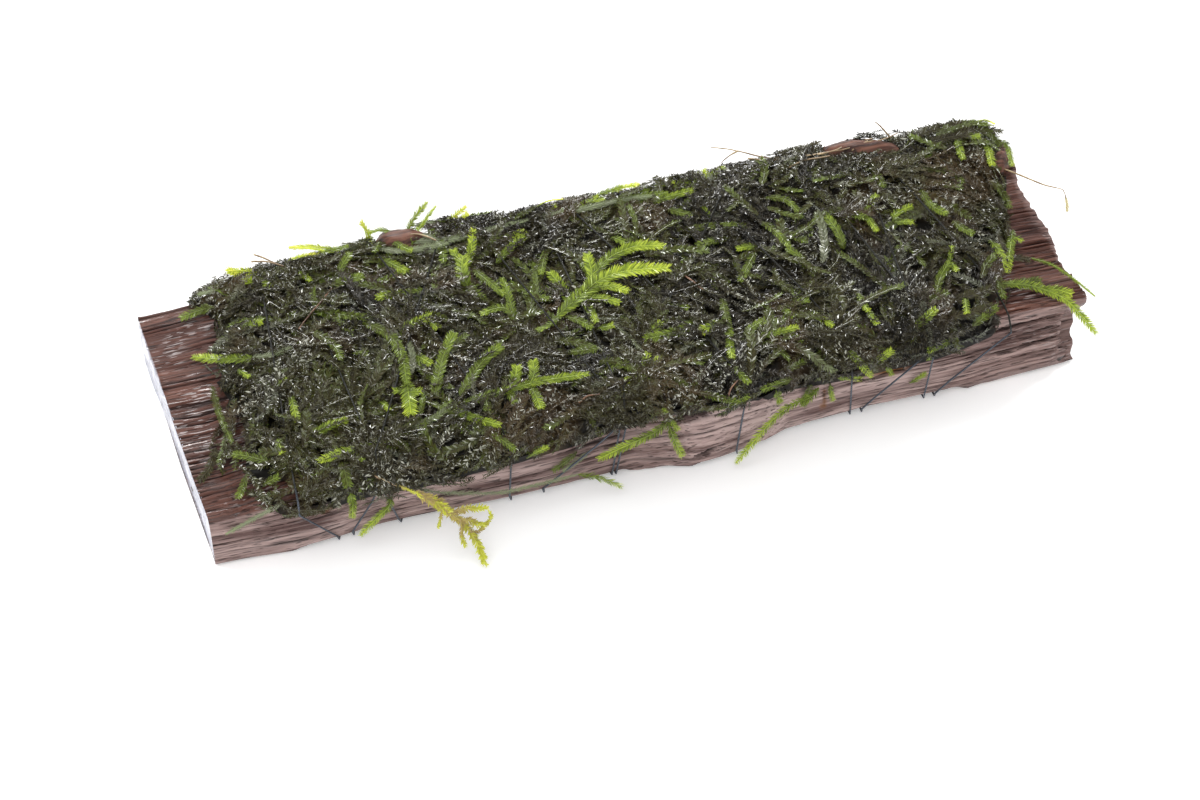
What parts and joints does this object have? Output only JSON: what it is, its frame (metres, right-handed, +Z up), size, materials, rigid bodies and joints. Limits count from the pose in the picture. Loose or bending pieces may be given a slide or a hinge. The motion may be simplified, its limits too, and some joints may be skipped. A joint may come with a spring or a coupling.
{
  "type": "java moss on driftwood",
  "caption": "Flat block of dark wet driftwood with a mat of java moss bound onto its top by a wound thread, as an aquarium decoration.",
  "frame": {"origin": "on the middle rest pad of the underside, under the block", "axes": "+X along the block from its sawn end to its broken end, +Y to the back, +Z up out of the moss"},
  "size_m": [0.2028, 0.0834, 0.0272],
  "materials": {
    "wet_driftwood": "wet dark red-brown wood with open grain along the block",
    "matted_moss": "wet matted dark olive moss",
    "fresh_moss": "wet fresh lime-green moss shoots",
    "golden_moss": "wet golden-yellow moss shoots",
    "moss_stem": "bare tan-brown moss stem",
    "slate_thread": "dull slate-grey twisted thread"
  },
  "bodies": {
    "root": {"driftwood": "wet_driftwood", "moss_mat": "matted_moss", "binding_thread": "slate_thread", "thread_knot": "slate_thread", "golden_sprig": "golden_moss", "drooping_shoot": "fresh_moss", "trailing_shoot": "fresh_moss", "front_shoot_left": "fresh_moss", "front_shoot_far_left": "fresh_moss", "front_shoot_long": "fresh_moss", "front_shoot_hanging": "fresh_moss", "broken_end_shoot": "fresh_moss", "broken_end_needle": "fresh_moss", "broken_end_runner": "moss_stem", "back_shoot_tall": "fresh_moss", "back_shoot_short": "fresh_moss", "back_shoot_level": "fresh_moss", "back_shoot_upright": "fresh_moss", "sawn_end_shoot": "fresh_moss", "back_stem_stub": "moss_stem", "back_runner": "moss_stem"}
  },
  "joints": []
}
